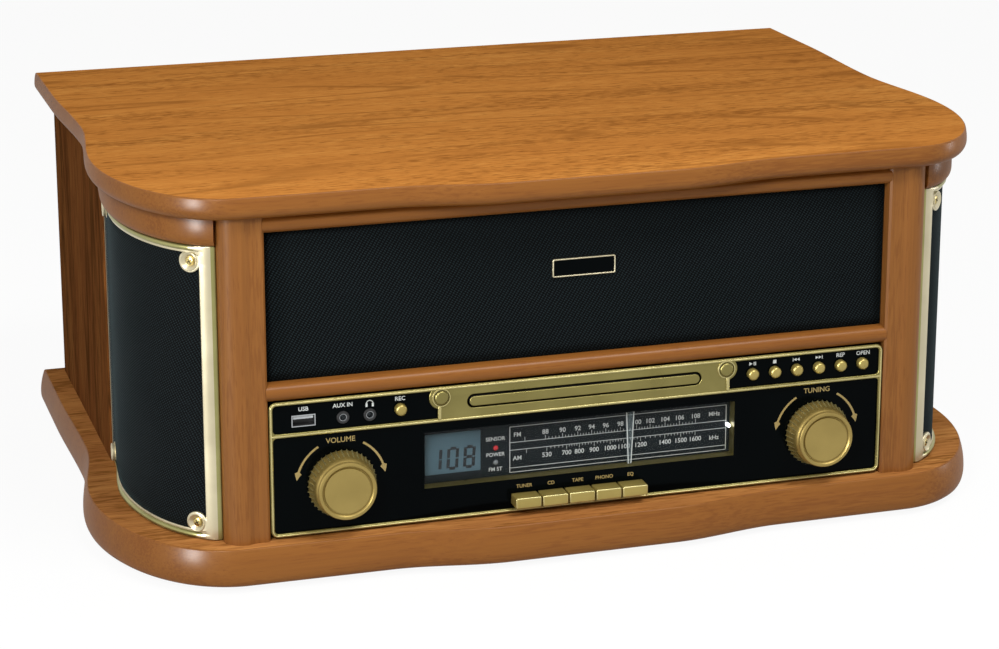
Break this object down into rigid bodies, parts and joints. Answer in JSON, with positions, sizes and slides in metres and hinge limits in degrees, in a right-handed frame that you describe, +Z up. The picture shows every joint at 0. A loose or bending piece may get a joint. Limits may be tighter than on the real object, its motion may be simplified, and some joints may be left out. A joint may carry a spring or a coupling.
{
  "type": "stereo music centre",
  "caption": "Wooden tabletop music centre with hinged lid, record deck, corner speakers, dial radio, disc drawer and side tape slot.",
  "frame": {"origin": "centre of the overall plan box, on the plane that the feet stand on", "axes": "+X to the right seen from the front, +Y to the back, +Z up; the front faces -Y"},
  "size_m": [0.531, 0.3614, 0.22],
  "materials": {
    "veneer": "satin",
    "black_rubber": "matte",
    "black_board": "matte",
    "zinc_steel": "satin",
    "speaker_box": "matte",
    "pale_gold_plastic": "satin",
    "black_cloth": "woven",
    "driver": "matte",
    "gloss_black": "gloss",
    "gold_lacquer": "satin",
    "socket_metal": "bright",
    "scale_slate": "satin",
    "clear_window": "clear",
    "display_grey": "satin",
    "green_board": "satin",
    "transformer_core": "rough",
    "deck_black": "satin",
    "belt_rubber": "matte",
    "platter_alloy": "satin",
    "mat_rubber": "matte",
    "pulley_brass": "bright",
    "arm_metal": "satin",
    "arm_black": "satin",
    "mechanism_plastic": "matte",
    "socket_black": "satin",
    "knob_gold": "satin",
    "pointer_clear": "clear"
  },
  "bodies": {
    "cabinet": {"plinth": "veneer", "feet": "black_rubber", "side_panel_left": "veneer", "side_panel_right": "veneer", "rear_panel": "black_board", "screws": "zinc_steel", "front_frame": "veneer", "top_rails": "veneer", "speaker_housings": "speaker_box", "speaker_frames": "pale_gold_plastic", "speaker_cloths": "black_cloth", "speaker_drivers": "driver", "grille_panel": "black_cloth", "badge_plate": "pale_gold_plastic", "fascia": "gloss_black", "fascia_trim": "gold_lacquer", "front_sockets": "socket_metal", "dial_scale": "scale_slate", "dial_window": "clear_window", "dial_frame": "gold_lacquer", "display_module": "display_grey", "circuit_boards": "green_board", "power_transformer": "transformer_core", "deck_plate": "deck_black", "phono_motor": "zinc_steel", "drive_belt": "belt_rubber", "tonearm_base": "arm_black", "cd_chassis": "mechanism_plastic", "tape_chassis": "mechanism_plastic", "rear_sockets": "socket_black", "hinge_brackets": "zinc_steel"},
    "lid": {"lid": "veneer", "lid_fittings": "zinc_steel"},
    "stay_arm": {"lid_stay_arm": "zinc_steel"},
    "platter": {"platter": "platter_alloy", "platter_mat": "mat_rubber"},
    "pulley": {"motor_pulley": "pulley_brass"},
    "arm_swivel": {"tonearm_pivot": "arm_black"},
    "arm": {"tonearm": "arm_metal"},
    "cue": {"cue_lever": "arm_black"},
    "speed": {"speed_switch": "arm_black"},
    "volume": {"volume_knob": "knob_gold"},
    "tuning": {"tuning_knob": "knob_gold"},
    "pointer": {"dial_pointer": "pointer_clear"},
    "tray": {"cd_tray": "gold_lacquer"},
    "disc_hub": {"cd_spindle": "mechanism_plastic"},
    "tape_flap": {"tape_door": "gloss_black"},
    "tape_key": {"tape_key": "gold_lacquer"},
    "key_1": {"source_key_1": "gold_lacquer"},
    "key_2": {"source_key_2": "gold_lacquer"},
    "key_3": {"source_key_3": "gold_lacquer"},
    "key_4": {"source_key_4": "gold_lacquer"},
    "key_5": {"source_key_5": "gold_lacquer"},
    "record_button": {"record_button": "gold_lacquer"},
    "play_button": {"play_button": "gold_lacquer"},
    "stop_button": {"stop_button": "gold_lacquer"},
    "previous_button": {"previous_button": "gold_lacquer"},
    "next_button": {"next_button": "gold_lacquer"},
    "repeat_button": {"repeat_button": "gold_lacquer"},
    "eject_button": {"eject_button": "gold_lacquer"}
  },
  "joints": [
    {"name": "lid_hinge", "type": "hinge", "parent": "cabinet", "child": "lid", "pos_m": [0, 0.17435, 0.204], "axis": [-1, 0, 0], "range_deg": [0, 65]},
    {"name": "lid_stay_turn", "type": "hinge", "parent": "cabinet", "child": "stay_arm", "pos_m": [0.2248, 0.10099, 0.18841], "axis": [-1, 0, 0], "range_deg": [0, 130]},
    {"name": "platter_spin", "type": "hinge", "parent": "cabinet", "child": "platter", "pos_m": [-0.03, 0.00975, 0.163], "axis": [0, 0, -1], "continuous": true},
    {"name": "pulley_spin", "type": "hinge", "parent": "cabinet", "child": "pulley", "pos_m": [-0.09971, 0.06824, 0.163], "axis": [0, 0, -1], "continuous": true},
    {"name": "arm_swing", "type": "hinge", "parent": "cabinet", "child": "arm_swivel", "pos_m": [0.148, 0.09275, 0.17], "axis": [0, 0, -1], "range_deg": [0, 49]},
    {"name": "arm_lift", "type": "hinge", "parent": "arm_swivel", "child": "arm", "pos_m": [0.148, 0.09275, 0.188], "axis": [-1, 0, 0], "range_deg": [0, 3.5]},
    {"name": "cue_lever_turn", "type": "hinge", "parent": "cabinet", "child": "cue", "pos_m": [0.175, 0.08475, 0.172], "axis": [-1, 0, 0], "range_deg": [0, 52.6]},
    {"name": "speed_slide", "type": "slide", "parent": "cabinet", "child": "speed", "axis": [0, 1, 0], "range_m": [0, 0.016]},
    {"name": "volume_turn", "type": "hinge", "parent": "cabinet", "child": "volume", "pos_m": [-0.14, -0.15925, 0.054], "axis": [0, 1, 0], "range_deg": [-150, 150]},
    {"name": "tuning_turn", "type": "hinge", "parent": "cabinet", "child": "tuning", "pos_m": [0.14, -0.15925, 0.054], "axis": [0, 1, 0], "range_deg": [-930, 780]},
    {"name": "pointer_slide", "type": "slide", "parent": "cabinet", "child": "pointer", "axis": [1, 0, 0], "range_m": [-0.049, 0.041]},
    {"name": "source_key_1_press", "type": "slide", "parent": "cabinet", "child": "key_1", "axis": [0, 1, 0], "range_m": [0, 0.003], "stiffness_N_per_m": 350, "springref_m": -0.002},
    {"name": "source_key_2_press", "type": "slide", "parent": "cabinet", "child": "key_2", "axis": [0, 1, 0], "range_m": [0, 0.003], "stiffness_N_per_m": 350, "springref_m": -0.002},
    {"name": "source_key_3_press", "type": "slide", "parent": "cabinet", "child": "key_3", "axis": [0, 1, 0], "range_m": [0, 0.003], "stiffness_N_per_m": 350, "springref_m": -0.002},
    {"name": "source_key_4_press", "type": "slide", "parent": "cabinet", "child": "key_4", "axis": [0, 1, 0], "range_m": [0, 0.003], "stiffness_N_per_m": 350, "springref_m": -0.002},
    {"name": "source_key_5_press", "type": "slide", "parent": "cabinet", "child": "key_5", "axis": [0, 1, 0], "range_m": [0, 0.003], "stiffness_N_per_m": 350, "springref_m": -0.002},
    {"name": "record_press", "type": "slide", "parent": "cabinet", "child": "record_button", "axis": [0, 1, 0], "range_m": [0, 0.0012], "stiffness_N_per_m": 500, "springref_m": -0.001},
    {"name": "play_press", "type": "slide", "parent": "cabinet", "child": "play_button", "axis": [0, 1, 0], "range_m": [0, 0.0012], "stiffness_N_per_m": 500, "springref_m": -0.001},
    {"name": "stop_press", "type": "slide", "parent": "cabinet", "child": "stop_button", "axis": [0, 1, 0], "range_m": [0, 0.0012], "stiffness_N_per_m": 500, "springref_m": -0.001},
    {"name": "previous_press", "type": "slide", "parent": "cabinet", "child": "previous_button", "axis": [0, 1, 0], "range_m": [0, 0.0012], "stiffness_N_per_m": 500, "springref_m": -0.001},
    {"name": "next_press", "type": "slide", "parent": "cabinet", "child": "next_button", "axis": [0, 1, 0], "range_m": [0, 0.0012], "stiffness_N_per_m": 500, "springref_m": -0.001},
    {"name": "repeat_press", "type": "slide", "parent": "cabinet", "child": "repeat_button", "axis": [0, 1, 0], "range_m": [0, 0.0012], "stiffness_N_per_m": 500, "springref_m": -0.001},
    {"name": "eject_press", "type": "slide", "parent": "cabinet", "child": "eject_button", "axis": [0, 1, 0], "range_m": [0, 0.0012], "stiffness_N_per_m": 500, "springref_m": -0.001},
    {"name": "disc_drawer_slide", "type": "slide", "parent": "cabinet", "child": "tray", "axis": [0, -1, 0], "range_m": [0, 0.133]},
    {"name": "disc_hub_spin", "type": "hinge", "parent": "cabinet", "child": "disc_hub", "pos_m": [0, -0.08865, 0.0935], "axis": [0, 0, 1], "continuous": true},
    {"name": "tape_flap_turn", "type": "hinge", "parent": "cabinet", "child": "tape_flap", "pos_m": [0.2397, 0.07575, 0.0819], "axis": [0, 1, 0], "range_deg": [0, 80], "stiffness_Nm_per_rad": 0.004, "springref_deg": -17.19},
    {"name": "tape_key_press", "type": "slide", "parent": "cabinet", "child": "tape_key", "axis": [-1, 0, 0], "range_m": [0, 0.002], "stiffness_N_per_m": 500, "springref_m": -0.001}
  ],
  "couplings": [
    {"joint": "lid_stay_turn", "follows": "lid_hinge", "ratio": 2},
    {"joint": "pulley_spin", "follows": "platter_spin", "ratio": 13.333},
    {"joint": "cue_lever_turn", "follows": "arm_lift", "ratio": 15},
    {"joint": "pointer_slide", "follows": "tuning_turn", "m_per_rad": 0.003}
  ]
}
